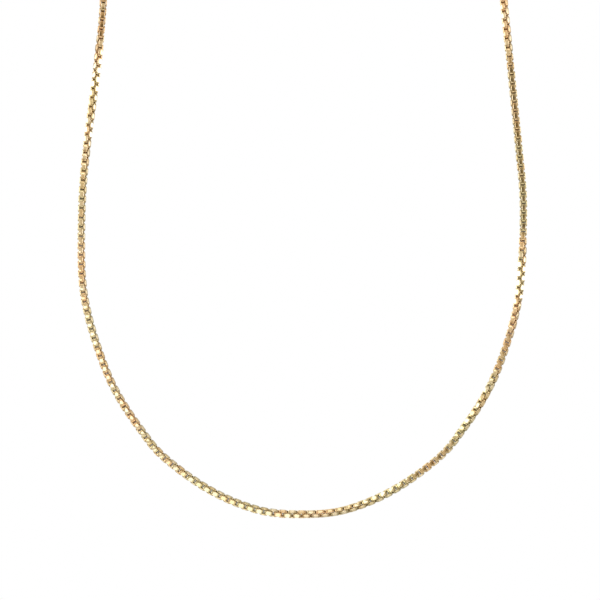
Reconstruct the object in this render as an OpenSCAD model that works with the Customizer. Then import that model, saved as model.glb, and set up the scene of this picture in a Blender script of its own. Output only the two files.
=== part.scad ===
// Fine box chain for the neck: a closed loop of square links, joined at the
// nape by a plain ring clasp. The origin is the middle of the clasp, where the
// loop hangs on the back of the neck. The front of the loop is towards -Y.

/* [Loop] */
// Width of the loop at its widest, between the middles of its two sides
loop_w = 101.5; // [85:0.5:130]
// Drop of the loop, from the nape to the middle of the chain at its lowest point
loop_drop = 151.5; // [120:0.5:200]
// Depth of the loop, from the nape to its front
loop_depth = 60; // [45:0.5:90]

/* [Chain] */
// Width of the chain's square section, over the flat sides of its links
chain_w = 1.7; // [1.6:0.1:2.5]
// Outside length of a box link along the chain
link_l = 2.1; // [1.9:0.05:3]
// Thickness of the strip that a link is bent from
strip_t = 0.33; // [0.26:0.01:0.38]
// Play between the edges of a link's strip and the window that it passes through
link_play = 0.1; // [0.06:0.01:0.14]
// Outside radius of a link's bends
bend_r = 0.5; // [0.4:0.05:0.7]
// Radius of the corners of a link's window
window_r = 0.45; // [0.3:0.05:0.46]

/* [Clasp] */
// Outside diameter of the clasp's ring
clasp_d = 6; // [5:0.5:9]
// Wire diameter of the clasp's ring
clasp_wire = 1.1; // [0.9:0.05:1.3]
// Inside diameter of the small eye on the clasp
eye_bore = 1.4; // [1.2:0.1:2]
// Wire diameter of the small eye
eye_wire = 0.6; // [0.5:0.05:0.8]
// Depth to which the eye's wire is soldered into the clasp's ring
eye_solder = 0.3; // [0.2:0.05:0.4]

/* [Rings] */
// Wire diameter of the jump ring and the catch ring
ring_wire = 0.5; // [0.4:0.05:0.6]
// Reach of the jump ring from its centre to the far side of its end link's bar
jump_reach = 0.9; // [0.8:0.05:1.4]
// Reach of the catch ring from its centre to the far side of its end link's bar
catch_reach = 1.3; // [1.2:0.05:1.8]
// Gap left between pieces that hang in each other
hang_gap = 0.1; // [0.06:0.01:0.12]

/* [Hidden] */

// Facets round a ring and round its wire
ring_fn = 96;
wire_fn = 32;
// Facets round a link's bend
bend_fn = 32;
// Largest share of a width that the radius of its corners may take
corner_share = 0.48;
// Longest step between two sections of the chain
section_step = 6;
// Corners of the chain's section
section_n = 8;
// Direction that the flats of the chain's section are set out from
front_dir = [0, 1, 0];

gold = [0.83, 0.66, 0.38];
pale_gold = [0.87, 0.73, 0.47];

// Length and width of a link's window
window_l = link_l - 2 * strip_t;
window_w = chain_w - 2 * strip_t;

// Width of the strip, which just passes through the window of the next link
strip_w = window_w - link_play;

// Inside radii of the rings: the end link's bar lies across the ring, square to its wire
eye_r = eye_bore / 2;
jump_r = hang_gap + norm([strip_w / 2, jump_reach]);
catch_r = hang_gap + norm([strip_w / 2, catch_reach]);
clasp_r = clasp_d / 2 - clasp_wire;

// Steps from the clasp's centre to the left: eye, jump ring, end link, chain
eye_step = clasp_d / 2 - eye_solder + eye_wire + eye_r;
jump_step = eye_step + eye_r + jump_r - hang_gap;
left_link_step = jump_step + jump_reach - strip_t + link_l / 2;
left_step = left_link_step + link_l / 2 + hang_gap;

// Steps from the clasp's centre to the right: catch ring, end link, chain
catch_step = clasp_r + catch_r - hang_gap;
right_link_step = catch_step + catch_reach - strip_t + link_l / 2;
right_step = right_link_step + link_l / 2 + hang_gap;

// The group is centred on the origin, so both ends of the chain lie equally far out
clasp_x = (left_step - right_step) / 2;
end_x = (left_step + right_step) / 2;

// Route of the chain between its ends: down the left side, round the front, up the right
ROUTE = [
    [-14.5, -1.5, -0.5],
    [-23, -6, -2.5],
    [-31.5, -13, -5.5],
    [-38.5, -22, -9.5],
    [-43.5, -31.5, -15.5],
    [-46, -40.5, -24],
    [-46, -46, -35],
    [-47.5, -49, -51],
    [-49.5, -51.5, -67],
    [-50.5, -53.5, -80],
    [-50.5, -55, -96],
    [-49, -56, -106],
    [-45.5, -57, -117],
    [-42, -57.5, -124.5],
    [-37, -58.5, -132],
    [-31.5, -59, -138.5],
    [-21, -59.5, -146],
    [-10, -60, -150.5],
    [0, -60, -151.5],
    [10, -60, -150.5],
    [21, -59.5, -146],
    [31.5, -59, -138.5],
    [37, -58.5, -132],
    [42, -57.5, -124.5],
    [45.5, -57, -117],
    [49, -56, -106],
    [50.5, -55, -96],
    [51, -53.5, -80],
    [50, -51.5, -67],
    [48.5, -49, -51],
    [47, -46, -35],
    [46, -40.5, -24],
    [43.5, -31.5, -15.5],
    [38.5, -22, -9.5],
    [31.5, -13, -5.5],
    [23, -6, -2.5],
    [14.5, -1.5, -0.5]
];

// A point mirrored in the plane across X, so that the chain leaves the clasp along X
function mirrored(p, plane_x) = [2 * plane_x - p[0], p[1], p[2]];

// The route, drawn out to the loop's width, depth and drop
route_x = [for (p = ROUTE) p[0]];
route_w = max(route_x) - min(route_x);
route_depth = -min([for (p = ROUTE) p[1]]);
route_drop = -min([for (p = ROUTE) p[2]]);
drawn = [
    for (p = ROUTE)
        [p[0] * loop_w / route_w, p[1] * loop_depth / route_depth, p[2] * loop_drop / route_drop]
];

// The drawn route with the chain's ends and a guide point beyond each of them
guide = concat(
    [mirrored(drawn[0], -end_x), [-end_x, 0, 0]],
    drawn,
    [[end_x, 0, 0], mirrored(drawn[len(drawn) - 1], end_x)]
);

// Smooth curve through four neighbouring points, from the second to the third
function curve_point(p, t) =
    0.5 * (2 * p[1] + (p[2] - p[0]) * t
        + (2 * p[0] - 5 * p[1] + 4 * p[2] - p[3]) * t * t
        + (3 * p[1] - p[0] - 3 * p[2] + p[3]) * t * t * t);

// Direction of that curve
function curve_dir(p, t) =
    0.5 * ((p[2] - p[0])
        + (2 * p[0] - 5 * p[1] + 4 * p[2] - p[3]) * 2 * t
        + (3 * p[1] - p[0] - 3 * p[2] + p[3]) * 3 * t * t);

function unit(v) = v / norm(v);

// The four guide points of a stretch, and the number of sections that it takes
function stretch(i) = [for (k = [0:3]) guide[i + k]];
function section_count(i) = max(1, round(norm(guide[i + 2] - guide[i + 1]) / section_step));

// Corner of the section: the outline of two crossed strips, one on each diagonal of corners
function section_corner(j) =
    let (
        quarter = floor(j / 2) * 90,
        across = j % 2 == 0 ? chain_w / 2 : strip_w / 2,
        along = j % 2 == 0 ? strip_w / 2 : chain_w / 2
    )
    [across * cos(quarter) - along * sin(quarter), across * sin(quarter) + along * cos(quarter)];

// One section of the chain, square to its direction
function section(at, dir) =
    let (
        side = unit(cross(dir, front_dir)),
        up = cross(side, unit(dir))
    )
    [for (j = [0:section_n - 1]) at + side * section_corner(j)[0] + up * section_corner(j)[1]];

// A tube through a list of sections, closed at both ends
module swept(sections) {
    last = (len(sections) - 1) * section_n;
    polyhedron(
        points = [for (ring = sections) each ring],
        faces = concat(
            [[for (j = [0:section_n - 1]) j]],
            [
                for (i = [0:len(sections) - 2])
                    for (j = [0:section_n - 1])
                        let (next = (j + 1) % section_n, low = i * section_n, high = low + section_n)
                        each [
                            [low + j, high + j, high + next],
                            [low + j, high + next, low + next]
                        ]
            ],
            [[for (j = [section_n - 1:-1:0]) last + j]]
        ),
        convexity = 8
    );
}

// Rectangle with round corners, built from plain shapes
module round_rect(length, width, corner_r) {
    r = min(corner_r, corner_share * min(length, width));
    square([length - 2 * r, width], center = true);
    square([length, width - 2 * r], center = true);
    for (x = [-1, 1], y = [-1, 1])
        translate([x * (length / 2 - r), y * (width / 2 - r)])
            circle(r = r, $fn = bend_fn);
}

// One box link: a strip bent to a rectangle round Y, with its window open along Y
module box_link() {
    rotate([90, 0, 0])
        linear_extrude(strip_w, center = true)
            difference() {
                round_rect(link_l, chain_w, bend_r);
                round_rect(window_l, window_w, window_r);
            }
}

// A ring of round wire in the XY plane
module wire_ring(inside_r, wire) {
    rotate_extrude($fn = ring_fn)
        translate([inside_r + wire / 2, 0])
            circle(d = wire, $fn = wire_fn);
}

// The chain, as the outline of its links swept along the route
module chain() {
    color(gold)
        swept([
            for (i = [0:len(guide) - 4])
                for (k = [0:section_count(i) - (i == len(guide) - 4 ? 0 : 1)])
                    let (t = k / section_count(i))
                    section(curve_point(stretch(i), t), curve_dir(stretch(i), t))
        ]);
}

// The soldered last link at the chain's left end
module end_link_left() {
    color(gold)
        translate([clasp_x - left_link_step, 0, 0])
            box_link();
}

// The soldered last link at the chain's right end
module end_link_right() {
    color(gold)
        translate([clasp_x + right_link_step, 0, 0])
            box_link();
}

// The ring between the left end link and the clasp's eye
module jump_ring() {
    color(pale_gold)
        translate([clasp_x - jump_step, 0, 0])
            wire_ring(jump_r, ring_wire);
}

// The ring on the right end link that the clasp holds
module catch_ring() {
    color(pale_gold)
        translate([clasp_x + catch_step, 0, 0])
            wire_ring(catch_r, ring_wire);
}

// The clasp: a plain closed ring that lies flat on the nape, with a soldered eye
module clasp() {
    color(pale_gold)
        translate([clasp_x, 0, 0])
            rotate([90, 0, 0]) {
                wire_ring(clasp_r, clasp_wire);
                translate([-eye_step, 0, 0])
                    wire_ring(eye_r, eye_wire);
            }
}

chain();
end_link_left();
end_link_right();
jump_ring();
catch_ring();
clasp();
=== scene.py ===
"""A fine box chain necklace: its links, its finishes, the light and the camera.

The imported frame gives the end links, the rings and the clasp. The links between them are
modelled once and set one by one along the route of the frame's chain, which they replace.
"""

import logging
import math
import random
from bisect import bisect_right
from dataclasses import dataclass, field, replace
from enum import Enum
from typing import Callable, Sequence

import bpy
from mathutils import Matrix, Vector

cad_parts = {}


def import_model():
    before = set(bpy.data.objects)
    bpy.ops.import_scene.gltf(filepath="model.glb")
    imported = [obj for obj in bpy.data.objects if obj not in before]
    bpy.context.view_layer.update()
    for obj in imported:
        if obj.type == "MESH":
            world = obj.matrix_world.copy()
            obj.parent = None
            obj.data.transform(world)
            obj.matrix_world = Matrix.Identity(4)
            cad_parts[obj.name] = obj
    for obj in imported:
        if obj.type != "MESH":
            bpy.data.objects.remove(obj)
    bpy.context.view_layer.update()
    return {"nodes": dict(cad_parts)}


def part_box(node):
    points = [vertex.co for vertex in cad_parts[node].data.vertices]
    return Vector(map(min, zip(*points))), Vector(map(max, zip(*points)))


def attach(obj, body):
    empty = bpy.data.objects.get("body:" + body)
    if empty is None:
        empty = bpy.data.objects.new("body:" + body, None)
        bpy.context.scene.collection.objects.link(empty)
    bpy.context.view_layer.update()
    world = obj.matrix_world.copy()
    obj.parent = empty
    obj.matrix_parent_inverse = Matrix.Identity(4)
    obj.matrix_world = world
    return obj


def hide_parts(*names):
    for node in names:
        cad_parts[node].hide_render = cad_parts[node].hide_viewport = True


# A colour as red, green and blue, and a place or a direction on X, Y and Z
Colour = tuple[float, float, float]
Place = tuple[float, float, float]

LOG = logging.getLogger("necklace")
MM = 0.001

# The width of the picture in pixels, and what one of them covers where the chain hangs
PICTURE_PX = 600
PIXEL = 0.23 * MM

# The gap that the frame leaves between pieces that hang in each other
HANG_GAP = 0.1 * MM

# How far along an axis a face's normal lies where the face counts as square to it
SQUARE = 0.9

# The route of the chain between its ends: down the left side, round the front, up the right
ROUTE = (
    (-0.0145, -0.0015, -0.0005),
    (-0.0230, -0.0060, -0.0025),
    (-0.0315, -0.0130, -0.0055),
    (-0.0385, -0.0220, -0.0095),
    (-0.0435, -0.0315, -0.0155),
    (-0.0460, -0.0405, -0.0240),
    (-0.0460, -0.0460, -0.0350),
    (-0.0475, -0.0490, -0.0510),
    (-0.0495, -0.0515, -0.0670),
    (-0.0505, -0.0535, -0.0800),
    (-0.0505, -0.0550, -0.0960),
    (-0.0490, -0.0560, -0.1060),
    (-0.0455, -0.0570, -0.1170),
    (-0.0420, -0.0575, -0.1245),
    (-0.0370, -0.0585, -0.1320),
    (-0.0315, -0.0590, -0.1385),
    (-0.0210, -0.0595, -0.1460),
    (-0.0100, -0.0600, -0.1505),
    (0.0000, -0.0600, -0.1515),
    (0.0100, -0.0600, -0.1505),
    (0.0210, -0.0595, -0.1460),
    (0.0315, -0.0590, -0.1385),
    (0.0370, -0.0585, -0.1320),
    (0.0420, -0.0575, -0.1245),
    (0.0455, -0.0570, -0.1170),
    (0.0490, -0.0560, -0.1060),
    (0.0505, -0.0550, -0.0960),
    (0.0510, -0.0535, -0.0800),
    (0.0500, -0.0515, -0.0670),
    (0.0485, -0.0490, -0.0510),
    (0.0470, -0.0460, -0.0350),
    (0.0460, -0.0405, -0.0240),
    (0.0435, -0.0315, -0.0155),
    (0.0385, -0.0220, -0.0095),
    (0.0315, -0.0130, -0.0055),
    (0.0230, -0.0060, -0.0025),
    (0.0145, -0.0015, -0.0005),
)


@dataclass(frozen=True)
class Twist:
    """How far the chain has turned about itself at one place.

    Args:
        at: Distance along the chain from the middle of its left end link, in metres.
        turn: Turn of the links there, in degrees. A positive turn faces their front to the
            loop's inner side.
    """

    at: float
    turn: float


# The twist of the chain as it hangs, from its left end to its right end
TWISTS = (
    Twist(0.0000, 0),
    Twist(0.0600, 0),
    Twist(0.0770, 2),
    Twist(0.0840, 4),
    Twist(0.0885, 28),
    Twist(0.0910, 37),
    Twist(0.0945, 38),
    Twist(0.0970, 46),
    Twist(0.1000, 56),
    Twist(0.1015, 59),
    Twist(0.1055, 59),
    Twist(0.1080, 54),
    Twist(0.1100, 55),
    Twist(0.1130, 70),
    Twist(0.1170, 78),
    Twist(0.1350, 80),
    Twist(0.1460, 76),
    Twist(0.2150, 72),
    Twist(0.2220, 58),
    Twist(0.2260, 48),
    Twist(0.2340, 44),
    Twist(0.2380, 34),
    Twist(0.2430, 26),
    Twist(0.2480, 22),
    Twist(0.2520, 10),
    Twist(0.2580, 7),
    Twist(0.2630, 14),
    Twist(0.2680, 30),
    Twist(0.2730, 33),
    Twist(0.2760, 42),
    Twist(0.2780, 40),
    Twist(0.2840, 12),
    Twist(0.2907, 9),
    Twist(0.2943, 26),
    Twist(0.2980, 32),
    Twist(0.3010, 42),
    Twist(0.3070, 40),
    Twist(0.3090, 34),
    Twist(0.3105, 28),
    Twist(0.3175, -9),
    Twist(0.3530, -9),
    Twist(0.3600, 28),
    Twist(0.3680, 34),
    Twist(0.3850, 5),
    Twist(0.4000, 0),
    Twist(0.5000, 0),
)


class Turned(Enum):
    """The two ways that neighbouring links of a box chain lie, in degrees from the end links."""

    UPRIGHT = 0.0
    FLAT = 90.0


class Part(Enum):
    """The kinds of parts of a mesh that are picked in edit mode."""

    EDGE = "EDGE"
    FACE = "FACE"


def deselect_all() -> None:
    """Leaves object mode's selection empty, so that an operator acts on new work alone."""
    for thing in bpy.context.selected_objects:
        thing.select_set(False)


def make_active(thing: bpy.types.Object) -> None:
    """Selects one object and nothing else.

    Args:
        thing: The object that the next operators work on.
    """
    deselect_all()
    thing.select_set(True)
    bpy.context.view_layer.objects.active = thing


def pick(thing: bpy.types.Object, part: Part, wanted: Callable[[Vector, Vector], bool]) -> None:
    """Selects parts of a mesh in edit mode by their place or normal.

    Args:
        thing: The object in edit mode.
        part: Which kind of its parts is picked.
        wanted: Says of an edge, given its two ends, or of a face, given its centre and
            normal, whether it is selected.
    """
    bpy.ops.mesh.select_mode(type=part.value)
    bpy.ops.mesh.select_all(action="DESELECT")
    bpy.ops.object.mode_set(mode="OBJECT")
    mesh = thing.data
    if part is Part.EDGE:
        for edge in mesh.edges:
            a, b = (mesh.vertices[v].co for v in edge.vertices)
            edge.select = wanted(a, b)
    else:
        for face in mesh.polygons:
            face.select = wanted(face.center, face.normal)
    bpy.ops.object.mode_set(mode="EDIT")


def join(things: Sequence[bpy.types.Object], name: str) -> bpy.types.Object:
    """Joins objects to one.

    Args:
        things: The objects.
        name: The name of what they become, and of its mesh.

    Returns:
        The joined object.
    """
    make_active(things[0])
    for thing in things:
        thing.select_set(True)
    bpy.ops.object.join()
    joined = bpy.context.object
    joined.name = name
    joined.data.name = name
    return joined


@dataclass(frozen=True)
class Smooth:
    """A smooth curve through guide points, measured along its length.

    Args:
        points: Dense points along the curve.
        lengths: Distance of each of them from the first one, in metres.
    """

    points: tuple[Vector, ...]
    lengths: tuple[float, ...]

    @classmethod
    def through(cls, first: Vector, left_x: float, right_x: float, last: Vector, steps: int = 24) -> "Smooth":
        """Draws the chain's curve: straight out of each end link, and round the route between.

        Args:
            first: Middle of the left end link.
            left_x: Where the left end link's straight stretch ends, on X.
            right_x: Where the right end link's straight stretch begins, on X.
            last: Middle of the right end link.
            steps: Points to each stretch between two guide points.

        Returns:
            The measured curve.
        """
        inner = [Vector(p) for p in ROUTE]
        ends = [Vector((left_x, 0, 0)), Vector((right_x, 0, 0))]
        guide = [cls.mirrored(inner[0], left_x), ends[0], *inner, ends[1], cls.mirrored(inner[-1], right_x)]
        points = [first]
        for a, b, c, d in zip(guide, guide[1:], guide[2:], guide[3:]):
            for k in range(steps):
                points.append(cls._between(a, b, c, d, k / steps))
        points += [ends[1], last]
        lengths = [0.0]
        for p, q in zip(points, points[1:]):
            lengths.append(lengths[-1] + (q - p).length)
        return cls(tuple(points), tuple(lengths))

    @staticmethod
    def _between(a: Vector, b: Vector, c: Vector, d: Vector, t: float) -> Vector:
        """Finds a point on the smooth stretch between two neighbouring guide points.

        Args:
            a: The guide point before the stretch.
            b: The one that it begins at.
            c: The one that it ends at.
            d: The guide point after it.
            t: How far along the stretch the point is, from 0 to 1.

        Returns:
            The point.
        """
        straight = 2 * b + (c - a) * t
        squared = (2 * a - 5 * b + 4 * c - d) * t * t
        cubed = (3 * b - a - 3 * c + d) * t**3
        return 0.5 * (straight + squared + cubed)

    @staticmethod
    def mirrored(point: Vector, plane_x: float) -> Vector:
        """A point mirrored in the plane across X at plane_x."""
        return Vector((2 * plane_x - point.x, point.y, point.z))

    @property
    def length(self) -> float:
        """The whole length of the curve, in metres."""
        return self.lengths[-1]

    def at(self, distance: float) -> Vector:
        """Finds a point on the curve.

        Args:
            distance: How far along the curve it is, in metres.

        Returns:
            The point.
        """
        i = min(max(bisect_right(self.lengths, distance) - 1, 0), len(self.points) - 2)
        span = self.lengths[i + 1] - self.lengths[i]
        return self.points[i].lerp(self.points[i + 1], (distance - self.lengths[i]) / span)


def turn_at(distance: float) -> float:
    """Reads the chain's twist off the table, with an even flow between its rows.

    Args:
        distance: Distance along the chain from the middle of its left end link, in metres.

    Returns:
        The turn in degrees.
    """
    for low, high in zip(TWISTS, TWISTS[1:]):
        if distance <= high.at:
            t = (distance - low.at) / (high.at - low.at)
            return low.turn + (high.turn - low.turn) * t
    return TWISTS[-1].turn


@dataclass(frozen=True)
class Wire:
    """A socket of a shader, on which an expression adds its Math nodes.

    Args:
        bench: The bench that adds the nodes.
        socket: The output socket that the wire starts from.
    """

    bench: "Bench"
    socket: bpy.types.NodeSocket

    def _math(self, operation: str, first: object, second: object) -> "Wire":
        """Adds one Math node and returns the wire from it."""
        return self.bench.node("ShaderNodeMath", {"operation": operation}, {0: first, 1: second}).wire()

    def __add__(self, other: object) -> "Wire":
        """The sum of two values."""
        return self._math("ADD", self, other)

    def __radd__(self, other: object) -> "Wire":
        """The sum with a plain number in front."""
        return self._math("ADD", other, self)

    def __sub__(self, other: object) -> "Wire":
        """The difference of two values."""
        return self._math("SUBTRACT", self, other)

    def __rsub__(self, other: object) -> "Wire":
        """The difference from a plain number."""
        return self._math("SUBTRACT", other, self)

    def __mul__(self, other: object) -> "Wire":
        """The product of two values."""
        return self._math("MULTIPLY", self, other)

    def __rmul__(self, other: object) -> "Wire":
        """The product with a plain number in front."""
        return self._math("MULTIPLY", other, self)


@dataclass(frozen=True)
class Made:
    """A node that stands on a bench.

    Args:
        bench: The bench that it was added on.
        node: The node itself.
    """

    bench: "Bench"
    node: bpy.types.Node

    def wire(self, name: str | int = 0) -> Wire:
        """The wire from one of the node's outputs."""
        return Wire(self.bench, self.node.outputs[name])


@dataclass(frozen=True)
class Bench:
    """A node tree in the making.

    Args:
        tree: The tree of a material or of the world, which is cleared first.
    """

    tree: bpy.types.NodeTree

    def __post_init__(self) -> None:
        """Clears the tree."""
        self.tree.nodes.clear()

    def node(self, kind: str, settings: dict | None = None, inputs: dict | None = None) -> Made:
        """Adds any node.

        Args:
            kind: The node's type, such as "ShaderNodeTexNoise".
            settings: Its properties, such as a Math node's operation. "stops" holds a ramp's stops.
            inputs: Values or wires for its sockets, by their names or numbers.

        Returns:
            The node that was added.
        """
        node = self.tree.nodes.new(kind)
        for name, value in (settings or {}).items():
            if name == "stops":
                self._set_stops(node, value)
            else:
                setattr(node, name, value)
        for name, value in (inputs or {}).items():
            if isinstance(value, Wire):
                self.tree.links.new(value.socket, node.inputs[name])
            else:
                node.inputs[name].default_value = value
        return Made(self, node)

    @staticmethod
    def _set_stops(node: bpy.types.Node, stops: Sequence[tuple[float, Sequence[float]]]) -> None:
        """Sets the stops of a colour ramp.

        Args:
            node: The ramp's node.
            stops: Pairs of a place, from 0 to 1, and the colour there.
        """
        elements = node.color_ramp.elements
        while len(elements) < len(stops):
            elements.new(1.0)
        for element, (place, colour) in zip(elements, stops):
            element.position = place
            element.color = (*colour, 1.0)

    def attribute(self, name: str) -> Wire:
        """The wire of a number that the mesh holds under this name, or of 0 where it holds none."""
        return self.node("ShaderNodeAttribute", {"attribute_name": name}).wire("Fac")

    def noise(self, where: Wire, scale: float, detail: float = 2.0) -> Wire:
        """Adds a noise pattern.

        Args:
            where: The coordinates that it reads.
            scale: Its grains to a metre.
            detail: Its finer octaves.

        Returns:
            The wire of its value, from 0 to 1.
        """
        made = self.node("ShaderNodeTexNoise", None, {"Vector": where, "Scale": scale, "Detail": detail})
        return made.wire("Fac")

    def mix(self, share: Wire | float, first: object, second: object) -> Wire:
        """Mixes two colours.

        Args:
            share: How much of the second colour shows.
            first: A colour or its wire.
            second: A colour or its wire.

        Returns:
            The wire of the mixed colour.
        """
        made = self.node("ShaderNodeMix", {"data_type": "RGBA"}, {0: share, 6: first, 7: second})
        return made.wire(2)

    def ramp(self, value: Wire, low: float, high: float) -> Wire:
        """Draws the values between two marks out to 0 and 1, and clamps the rest.

        Args:
            value: The value that is read.
            low: What becomes 0.
            high: What becomes 1.

        Returns:
            The wire of the stretched value.
        """
        settings = {"interpolation_type": "SMOOTHSTEP"}
        made = self.node("ShaderNodeMapRange", settings, {"Value": value, "From Min": low, "From Max": high})
        return made.wire("Result")


def tint(red: float, green: float, blue: float) -> tuple[float, float, float, float]:
    """A colour without transparency, for a colour socket."""
    return (red, green, blue, 1.0)


WHITE = tint(1.0, 1.0, 1.0)


@dataclass(frozen=True)
class Gold:
    """Polished yellow gold with fine wear.

    Args:
        name: The material's name.
        bright: Colour where the metal is clean.
        green: Colour of the darker patches that are greenish.
        rose: Colour of the darker patches that are reddish.
        olive_painted_shade: Colour of the painted shade in the recesses where it is greenish.
        copper_painted_shade: Colour of the painted shade in the recesses where it is reddish.
        roughness: Roughness where it is well polished.
        haze: How much rougher the hazy patches are.
        grain: Grains of the wear to a metre.
        relief: Height of the finest marks, in metres.
        end_painted_shade: How much painted shade lies on the bent ends of a link, for the shade in the
            grooves between links.
        edge_painted_shade: How much painted shade lies on the cut edges of the strip.
        edge_haze: How much rougher those edges are, which are satin.
        recess_haze: How much rougher the recesses are.
        patch: Patches of one hue to a metre.
        tone_in_hue: How far a link's own shade decides its hue, and the patches don't.
        hues: Where the hue begins to turn from green to rose, and where it has.
        cloud: Clouds of dull metal, as a share of the wear's grains.
        tone_in_clouds: How far a link's own shade decides how dull it is, and the clouds don't.
        dulled: Where the mix of clouds and links' shades begins to dull the metal, and where it is dull.
        marks_detail: The finer octaves of the marks.
        marks_in_painted_shade: How far the marks thin the painted shade.
        hazy: Where the marks begin to make the metal hazy, and where it is.
        bent_ends: Where the painted shade of the bent ends begins and is full, as squares of the
        distance from a link's middle, in half lengths.
    """

    name: str
    bright: Colour
    green: Colour
    rose: Colour
    olive_painted_shade: Colour
    copper_painted_shade: Colour
    roughness: float
    haze: float
    grain: float
    relief: float
    end_painted_shade: float = 0.0
    edge_painted_shade: float = 0.05
    edge_haze: float = 0.5
    recess_haze: float = 0.1
    patch: float = 70.0
    tone_in_hue: float = 0.15
    hues: tuple[float, float] = (0.35, 0.65)
    cloud: float = 0.25
    tone_in_clouds: float = 0.4
    dulled: tuple[float, float] = (0.2, 0.8)
    marks_detail: float = 4.0
    marks_in_painted_shade: float = 0.2
    hazy: tuple[float, float] = (0.45, 0.75)
    bent_ends: tuple[float, float] = (0.08, 0.35)

    def material(self) -> bpy.types.Material:
        """Makes the material.

        Returns:
            The material, with its nodes.
        """
        made = bpy.data.materials.new(self.name)
        made.use_nodes = True
        bench = Bench(made.node_tree)
        place = bench.node("ShaderNodeTexCoord").wire("Object")
        tone = bench.attribute("link_tone")
        recess = bench.attribute("recess")
        cut = bench.attribute("cut_edge")
        along = bench.attribute("along_link")
        cloud = bench.noise(place, self.grain * self.cloud)
        marks = bench.noise(place, self.grain, self.marks_detail)
        patches = bench.noise(place, self.patch)
        hue = bench.ramp(patches * (1 - self.tone_in_hue) + tone * self.tone_in_hue, *self.hues)
        dull = bench.ramp(cloud * (1 - self.tone_in_clouds) + tone * self.tone_in_clouds, *self.dulled)
        clean = bench.mix(dull, tint(*self.bright), bench.mix(hue, tint(*self.green), tint(*self.rose)))
        # Painted shade: an olive to copper colour darkens the faces in the windows, where shade falls between
        # the links
        painted_shade = bench.mix(hue, tint(*self.olive_painted_shade), tint(*self.copper_painted_shade))
        # Painted shade on the bent ends, full towards each end of the link, where the grooves between links
        # lie in shade
        bent = (1 - recess) * self.end_painted_shade * bench.ramp(along * along, *self.bent_ends)
        kept = (1 - self.marks_in_painted_shade) + self.marks_in_painted_shade * marks
        # The cut edges get a little painted shade too
        colour = bench.mix((recess + bent) * kept + cut * self.edge_painted_shade, clean, painted_shade)
        haze = self.haze * bench.ramp(marks, *self.hazy)
        roughness = self.roughness + haze + self.recess_haze * recess + self.edge_haze * cut
        bump = bench.node("ShaderNodeBump", None, {"Strength": 1.0, "Distance": self.relief, "Height": marks})
        surface = {"Base Color": colour, "Metallic": 1.0, "Roughness": roughness, "Normal": bump.wire()}
        shader = bench.node("ShaderNodeBsdfPrincipled", None, surface)
        bench.node("ShaderNodeOutputMaterial", None, {"Surface": shader.wire()})
        return made


@dataclass(frozen=True)
class Paper:
    """The pale, matt paper of the studio floor.

    Args:
        name: The material's name.
        colour: Its main colour.
        fleck: The colour of its faint flecks.
        flecks: Flecks to a metre.
        roughness: Roughness of the paper.
        gloss: Its gloss, where 0.5 is that of plain plastic.
    """

    name: str
    colour: Colour
    fleck: Colour
    flecks: float = 40.0
    roughness: float = 0.9
    gloss: float = 0.1

    def material(self) -> bpy.types.Material:
        """Makes the material.

        Returns:
            The material, with its nodes.
        """
        made = bpy.data.materials.new(self.name)
        made.use_nodes = True
        bench = Bench(made.node_tree)
        place = bench.node("ShaderNodeTexCoord").wire("Object")
        colour = bench.mix(bench.noise(place, self.flecks), tint(*self.colour), tint(*self.fleck))
        surface = {"Base Color": colour, "Roughness": self.roughness, "Specular IOR Level": self.gloss}
        shader = bench.node("ShaderNodeBsdfPrincipled", None, surface)
        bench.node("ShaderNodeOutputMaterial", None, {"Surface": shader.wire()})
        return made


CHAIN_GOLD = Gold(
    name="polished_chain_gold",
    bright=(0.96, 0.83, 0.60),
    green=(0.82, 0.74, 0.42),
    rose=(0.95, 0.68, 0.39),
    # The olive and copper colours below are those of the painted shade
    olive_painted_shade=(0.24, 0.205, 0.065),
    copper_painted_shade=(0.40, 0.205, 0.08),
    roughness=0.08,
    haze=0.03,
    grain=2600.0,
    relief=0.0004 * MM,
    # How much painted shade the bent ends get
    end_painted_shade=0.70,
)

# The end links hold none of the numbers that place the painted shade, so their gold is painted duller and
# darker all over in its stead
END_GOLD = replace(
    CHAIN_GOLD,
    name="polished_end_gold",
    bright=(0.82, 0.70, 0.48),
    green=(0.72, 0.62, 0.38),
    rose=(0.76, 0.58, 0.36),
    dulled=(0.1, 0.5),
)

CLASP_GOLD = Gold(
    name="polished_clasp_gold",
    bright=(0.95, 0.80, 0.52),
    green=(0.84, 0.68, 0.38),
    rose=(0.88, 0.64, 0.36),
    # Colours of painted shade; the clasp's pieces hold no window marks, so it shows on none of them
    olive_painted_shade=(0.40, 0.32, 0.14),
    copper_painted_shade=(0.42, 0.26, 0.12),
    roughness=0.12,
    haze=0.16,
    grain=1800.0,
    relief=0.015 * MM,
    patch=260.0,
    dulled=(0.22, 0.40),
)

FLOOR_PAPER = Paper(name="floor_paper", colour=(0.64, 0.64, 0.63), fleck=(0.60, 0.60, 0.59))


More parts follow.
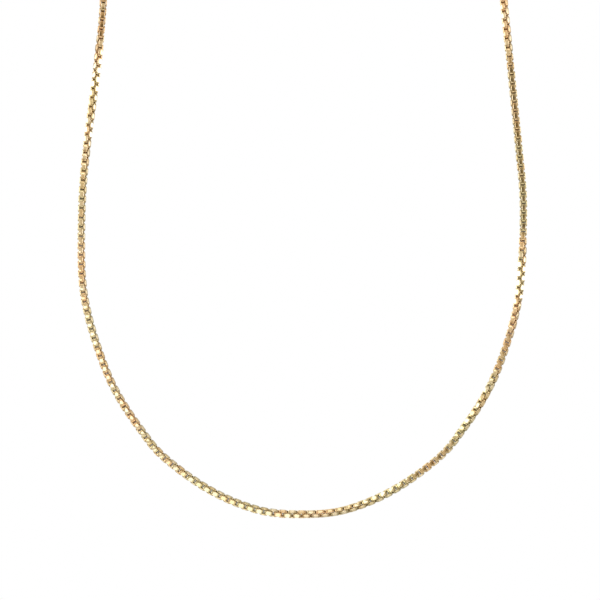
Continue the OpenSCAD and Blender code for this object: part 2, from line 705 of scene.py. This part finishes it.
@dataclass
class BoxLinks:
    """The links between the two end links, each bent from strip and turned against the next.

    Args:
        thickness: Thickness of the strip.
        bend: Outside radius of a link's bends.
        fillet: Radius of the corners of a link's window.
        bend_steps: Facets of each bend.
        rim: Width of the small bevel along the strip's outer edges.
        play: How much shorter and narrower a link is than an end link, to hang clear of its neighbours.
        pitch: Distance between the middles of two links.
        loose_turn: Largest turn of a link in its neighbours, in degrees.
        loose_lean: Largest lean of a link in its neighbours, in degrees.
        sharp: Angle from which an edge between two faces is sharp, in degrees.
        seed: Start of the random draws.
        left: Lowest and highest corner of the left end link.
        right: Lowest and highest corner of the right end link.
    """

    thickness: float = 0.33 * MM
    bend: float = 0.5 * MM
    fillet: float = 0.17 * MM
    bend_steps: int = 2
    rim: float = 0.07 * MM
    play: float = 0.02 * MM
    pitch: float = 1.08 * MM
    loose_turn: float = 0.5
    loose_lean: float = 1.0
    sharp: float = 50.0
    seed: int = 7
    left: tuple[Vector, Vector] = field(default_factory=lambda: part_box("end_link_left"))
    right: tuple[Vector, Vector] = field(default_factory=lambda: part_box("end_link_right"))

    def __post_init__(self) -> None:
        """Takes the sizes of a link from the frame's end links."""
        size = Vector(self.left[1]) - Vector(self.left[0])
        self.length = size.x - self.play
        self.strip = size.y - self.play
        self.width = size.z

    @property
    def hair(self) -> float:
        """A distance that is too small to matter on a link."""
        return self.rim / 100

    def model_link(self) -> bpy.types.Object:
        """Models one link at the origin, lying along X with its window open along Y.

        Returns:
            The link.
        """
        deselect_all()
        bpy.ops.mesh.primitive_cube_add(size=1.0, scale=(self.length, self.strip, self.width))
        link = bpy.context.object
        bpy.ops.object.transform_apply(location=False, rotation=False, scale=True)
        bpy.ops.object.mode_set(mode="EDIT")
        self._round_tube(link, self.length, self.width, self.bend)
        inner_length = self.length - 2 * self.thickness
        inner_width = self.width - 2 * self.thickness
        bpy.ops.mesh.primitive_cube_add(size=1.0, scale=(inner_length, self.strip, inner_width))
        self._round_tube(link, inner_length, inner_width, self.fillet)
        pick(link, Part.FACE, lambda centre, normal: not self._outside(centre))
        bpy.ops.mesh.flip_normals()
        for side in (-1, 1):
            pick(link, Part.EDGE, lambda a, b: min(a.y * side, b.y * side) > self.strip / 2 - self.hair)
            bpy.ops.mesh.bridge_edge_loops()
        pick(link, Part.EDGE, lambda a, b: a.y * b.y > 0 and self._outside(a) and self._outside(b))
        bpy.ops.mesh.bevel(offset=self.rim, segments=1, affect="EDGES")
        bpy.ops.mesh.select_all(action="SELECT")
        bpy.ops.mesh.remove_doubles(threshold=self.hair)
        bpy.ops.mesh.normals_make_consistent(inside=False)
        bpy.ops.object.mode_set(mode="OBJECT")
        bpy.ops.object.shade_smooth_by_angle(angle=math.radians(self.sharp))
        bpy.ops.object.modifier_add(type="WEIGHTED_NORMAL")
        weighted = link.modifiers[-1]
        weighted.keep_sharp = True
        bpy.ops.object.modifier_apply(modifier=weighted.name)
        return link

    def _round_tube(self, link: bpy.types.Object, length: float, width: float, radius: float) -> None:
        """Makes an open tube with round corners of the box just added in edit mode.

        Args:
            link: The object in edit mode.
            length: The box's length, on X.
            width: The box's width, on Z.
            radius: Radius of the corners.
        """
        corner = Vector((length / 2, width / 2))

        def at_corner(a: Vector, b: Vector) -> bool:
            """Says whether an edge of the box runs across the strip, at one of its corners."""
            return a.y * b.y < 0 and (Vector((abs(a.x), abs(a.z))) - corner).length < self.hair

        pick(link, Part.EDGE, at_corner)
        bpy.ops.mesh.bevel(offset=radius, segments=self.bend_steps, affect="EDGES")
        pick(link, Part.FACE, lambda centre, normal: abs(normal.y) > SQUARE)
        bpy.ops.mesh.delete(type="ONLY_FACE")

    def _outside(self, point: Vector) -> bool:
        """Tells a link's outside from its window.

        Args:
            point: A point of the link, still at the origin.

        Returns:
            Whether it lies on the outside.
        """
        dx = max(abs(point.x) - (self.length / 2 - self.bend), 0.0)
        dz = max(abs(point.z) - (self.width / 2 - self.bend), 0.0)
        return math.hypot(dx, dz) > self.bend - self.thickness / 2

    def mark(self, mesh: bpy.types.Mesh, tone: float) -> None:
        """Writes on a link's mesh the numbers that its gold reads.

        Its faces hold the link's own tone and whether they lie in the window or on a cut edge, where
        the gold lays painted shade, and their corners hold how far they are from the link's middle,
        in half lengths, which places the painted shade of the bent ends.

        Args:
            mesh: The link's mesh, still at the origin.
            tone: The link's own shade, from 0 to 1.
        """
        tones = mesh.attributes.new("link_tone", "FLOAT", "FACE")
        recess = mesh.attributes.new("recess", "FLOAT", "FACE")
        cut = mesh.attributes.new("cut_edge", "FLOAT", "FACE")
        along = mesh.attributes.new("along_link", "FLOAT", "CORNER")
        for i, face in enumerate(mesh.polygons):
            tones.data[i].value = tone
            outside = any(self._outside(mesh.vertices[v].co) for v in face.vertices)
            recess.data[i].value = float(not outside)
            cut.data[i].value = float(abs(face.normal.y) > SQUARE)
        for i, corner in enumerate(mesh.loops):
            along.data[i].value = mesh.vertices[corner.vertex_index].co.x / (self.length / 2)

    def place(self, curve: Smooth, distance: float, lie: Turned, draw: random.Random) -> Matrix:
        """Works out where one link lies.

        Args:
            curve: The chain's curve.
            distance: How far along the curve the link's middle is.
            lie: Whether it lies as the end links do, or a quarter turn on.
            draw: The random draws of the link's play.

        Returns:
            The matrix that takes the link from the origin to its place.
        """
        reach = self.pitch / 2
        along = (curve.at(distance + reach) - curve.at(distance - reach)).normalized()
        inwards = along.cross(Vector((0, 1, 0))).normalized()
        back = inwards.cross(along)
        turn = math.radians(turn_at(distance) + lie.value + draw.uniform(-1, 1) * self.loose_turn)
        lean = math.radians(draw.uniform(-1, 1) * self.loose_lean)
        across = inwards * math.cos(turn) + back * math.sin(turn)
        through = along.cross(across) * -1
        turned = Matrix((along, through, across)).transposed().to_4x4()
        return Matrix.Translation(curve.at(distance)) @ turned @ Matrix.Rotation(lean, 4, "Y")

    def build(self, finish: bpy.types.Material) -> bpy.types.Object:
        """Sets all the links along the route and joins them to one piece.

        Args:
            finish: The gold of the links.

        Returns:
            The piece, which rides on the body and replaces the frame's chain.
        """
        first = (Vector(self.left[0]) + Vector(self.left[1])) / 2
        last = (Vector(self.right[0]) + Vector(self.right[1])) / 2
        curve = Smooth.through(first, self.left[0][0] - HANG_GAP, self.right[1][0] + HANG_GAP, last)
        pairs = round(curve.length / self.pitch / 2)
        step = curve.length / (2 * pairs)
        draw = random.Random(self.seed)
        link = self.model_link()
        links = []
        for k in range(1, 2 * pairs):
            mesh = link.data.copy()
            self.mark(mesh, draw.random())
            lie = Turned.FLAT if k % 2 else Turned.UPRIGHT
            mesh.transform(self.place(curve, k * step, lie, draw))
            copy = bpy.data.objects.new(f"link_{k}", mesh)
            bpy.context.scene.collection.objects.link(copy)
            links.append(copy)
        bpy.data.objects.remove(link)
        piece = join(links, "box_links")
        piece.data.materials.clear()
        piece.data.materials.append(finish)
        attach(piece, "root")
        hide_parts("chain")
        LOG.info("%d links stand %.3f mm apart along %.1f mm", len(links), step / MM, curve.length / MM)
        return piece


@dataclass
class ClaspGroup:
    """The end links, the rings and the clasp, whose shapes come from the frame.

    Args:
        nodes: The frame's nodes by name.
        end_gold: The gold of the end links.
        clasp_gold: The gold of the rings and the clasp.
    """

    nodes: dict[str, bpy.types.Object]
    end_gold: bpy.types.Material
    clasp_gold: bpy.types.Material

    def dress(self) -> list[bpy.types.Object]:
        """Gives each piece its gold.

        Returns:
            The pieces.
        """
        finishes = {
            "end_link_left": self.end_gold,
            "end_link_right": self.end_gold,
            "jump_ring": self.clasp_gold,
            "catch_ring": self.clasp_gold,
            "clasp": self.clasp_gold,
        }
        for name, finish in finishes.items():
            for slot in self.nodes[name].material_slots:
                slot.material = finish
        return [self.nodes[name] for name in finishes]


@dataclass(frozen=True)
class Softbox:
    """A soft light.

    Args:
        name: Its name.
        place: Where it stands, in metres.
        size: Its width and height, in metres.
        power: Its power, in watts.
    """

    name: str
    place: Place
    size: tuple[float, float]
    power: float

    def stand(self, target: Vector) -> None:
        """Puts the light in the scene.

        Args:
            target: The point that it shines at.
        """
        light = bpy.data.lights.new(self.name, "AREA")
        light.shape = "RECTANGLE"
        light.size, light.size_y = self.size
        light.energy = self.power
        lamp = bpy.data.objects.new(self.name, light)
        lamp.location = self.place
        lamp.rotation_euler = (target - Vector(self.place)).to_track_quat("-Z", "Y").to_euler()
        bpy.context.scene.collection.objects.link(lamp)


@dataclass
class Studio:
    """The floor, the light and the camera.

    Args:
        floor_drop: How far below the nape the floor lies.
        floor_radius: Radius of the floor.
        floor_corners: Corners round the floor.
        camera_distance: How far in front of middle_depth the camera stands.
        sensor: Width of the camera's sensor, in millimetres.
        clip: The nearest and the farthest that the camera sees.
        middle_depth: The place on Y that the picture's scale is measured at.
        middle_x: What the middle of the picture shows on X.
        middle_z: What the middle of the picture shows on Z.
        camera_shade_rise: How far above the camera its dark surroundings are centred, in degrees.
        camera_shade_turn: How far to the right of the camera they are centred, in degrees.
        pool_place: Where the lamp hangs that lights the floor in front from above.
        pool_width: Full angle of its light, in degrees.
        pool_power: Its power, in watts.
        pool_fade: How much of its light's width fades out.
        pool_source: Radius of the lamp.
        world_strength: Brightness of the surroundings as the metal sees them.
        front_shades: Shades of the surroundings, from behind the chain to the dark middle in front.
        side_glow: Where the white on both sides begins and is full, as squared shares of straight sideways.
        softboxes: The soft lights round the necklace.
    """

    floor_drop: float = 0.40
    floor_radius: float = 3.5
    floor_corners: int = 96
    camera_distance: float = 1.2
    sensor: float = 36.0
    clip: tuple[float, float] = (0.05, 20.0)
    middle_depth: float = -54 * MM
    middle_x: float = -0.37 * MM
    middle_z: float = -102.48 * MM
    camera_shade_rise: float = 18.0
    camera_shade_turn: float = 12.0
    pool_place: Place = (0.0, -0.50, 1.0)
    pool_width: float = 36.0
    pool_power: float = 104.0
    pool_fade: float = 0.5
    pool_source: float = 0.03
    world_strength: float = 2.7
    front_shades: tuple[tuple[float, Colour], ...] = (
        (0.000, (0.38, 0.38, 0.36)),
        (0.150, (0.20, 0.19, 0.165)),
        (0.250, (0.22, 0.21, 0.185)),
        (0.380, (0.38, 0.37, 0.35)),
        (0.500, (0.37, 0.36, 0.33)),
        (0.700, (0.28, 0.26, 0.22)),
        (0.800, (0.25, 0.23, 0.19)),
        (0.920, (0.25, 0.22, 0.175)),
        (0.953, (0.24, 0.20, 0.15)),
        (0.975, (0.17, 0.135, 0.09)),
        (0.990, (0.10, 0.08, 0.05)),
        (1.000, (0.05, 0.04, 0.025)),
    )
    side_glow: tuple[float, float] = (0.72, 0.92)
    softboxes: tuple[Softbox, ...] = (
        Softbox("left_softbox", (-1.10, -0.10, 0.15), (0.4, 0.8), 1.5),
        Softbox("right_softbox", (1.10, -0.10, 0.15), (0.4, 0.8), 1.5),
        Softbox("top_softbox", (0.0, -0.25, 1.1), (0.6, 0.4), 0.5),
        Softbox("back_softbox", (-0.7, 1.1, 0.6), (0.8, 0.6), 2.5),
        Softbox("low_softbox", (-0.68, -1.05, -0.20), (0.35, 0.35), 0.5),
        Softbox("high_softbox", (-0.48, -0.635, 0.65), (0.7, 0.6), 1.7),
    )

    def lay_floor(self) -> None:
        """Lays the pale floor under the necklace."""
        deselect_all()
        bpy.ops.mesh.primitive_circle_add(
            vertices=self.floor_corners,
            radius=self.floor_radius,
            fill_type="NGON",
            location=(0, 0, -self.floor_drop),
        )
        floor = bpy.context.object
        bpy.ops.object.transform_apply(location=True, rotation=False, scale=False)
        floor.name = "floor"
        floor.data.materials.append(FLOOR_PAPER.material())

    @staticmethod
    def _towards(bench: Bench, direction: Wire, axis: Place) -> Wire:
        """The cosine of the angle between a direction of the surroundings and an axis."""
        made = bench.node("ShaderNodeVectorMath", {"operation": "DOT_PRODUCT"}, {0: direction, 1: axis})
        return made.wire("Value")

    def light_world(self) -> None:
        """Makes the white surroundings, which the metal sees in other shades all round."""
        world = bpy.data.worlds.new("studio")
        world.use_nodes = True
        bpy.context.scene.world = world
        bench = Bench(world.node_tree)
        direction = bench.node("ShaderNodeTexCoord").wire("Generated")
        rise = math.radians(self.camera_shade_rise)
        turn = math.radians(self.camera_shade_turn)
        axis = (math.sin(turn) * math.cos(rise), -math.cos(turn) * math.cos(rise), math.sin(rise))
        forward = 0.5 + 0.5 * self._towards(bench, direction, axis)  # 0 behind, 1 in front
        seen = bench.node("ShaderNodeValToRGB", {"stops": self.front_shades}, {"Fac": forward}).wire("Color")
        across = self._towards(bench, direction, (1.0, 0.0, 0.0))
        seen = bench.mix(bench.ramp(across * across, *self.side_glow), seen, WHITE)
        straight = bench.node("ShaderNodeLightPath").wire("Is Camera Ray")
        colour = bench.mix(straight, seen, WHITE)
        strength = self.world_strength - (self.world_strength - 1.0) * straight
        sky = bench.node("ShaderNodeBackground", None, {"Color": colour, "Strength": strength})
        bench.node("ShaderNodeOutputWorld", None, {"Surface": sky.wire()})

    def light_pool(self) -> None:
        """Hangs the lamp that makes a soft pool of light on the floor in front."""
        light = bpy.data.lights.new("floor_lamp", "SPOT")
        light.energy = self.pool_power
        light.spot_size = math.radians(self.pool_width)
        light.spot_blend = self.pool_fade
        light.shadow_soft_size = self.pool_source
        lamp = bpy.data.objects.new("floor_lamp", light)
        lamp.location = self.pool_place
        bpy.context.scene.collection.objects.link(lamp)

    def set_camera(self) -> None:
        """Sets the camera straight in front, with the lens that gives the picture's scale."""
        lens = bpy.data.cameras.new("camera")
        lens.sensor_width = self.sensor
        lens.lens = self.sensor * self.camera_distance / (PICTURE_PX * PIXEL)
        lens.clip_start, lens.clip_end = self.clip
        camera = bpy.data.objects.new("camera", lens)
        camera.location = (self.middle_x, self.middle_depth - self.camera_distance, self.middle_z)
        camera.rotation_euler = (math.radians(90), 0.0, 0.0)
        bpy.context.scene.collection.objects.link(camera)
        bpy.context.scene.camera = camera

    def build(self) -> None:
        """Sets up the whole studio."""
        self.lay_floor()
        self.light_world()
        target = Vector((0.0, self.middle_depth, self.middle_z))
        for softbox in self.softboxes:
            softbox.stand(target)
        self.light_pool()
        self.set_camera()
        view = bpy.context.scene.view_settings
        view.view_transform = "Standard"
        view.look = "None"


def report(piece: bpy.types.Object) -> None:
    """Logs a piece's name, its faces and its finish."""
    LOG.info("%s: %d faces in %s", piece.name, len(piece.data.polygons), piece.material_slots[0].name)


def main() -> None:
    """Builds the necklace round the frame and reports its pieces."""
    logging.basicConfig(level=logging.INFO, format="%(name)s: %(message)s")
    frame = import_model()
    report(BoxLinks().build(CHAIN_GOLD.material()))
    for piece in ClaspGroup(frame["nodes"], END_GOLD.material(), CLASP_GOLD.material()).dress():
        report(piece)
    Studio().build()


if __name__ == "__main__":
    main()
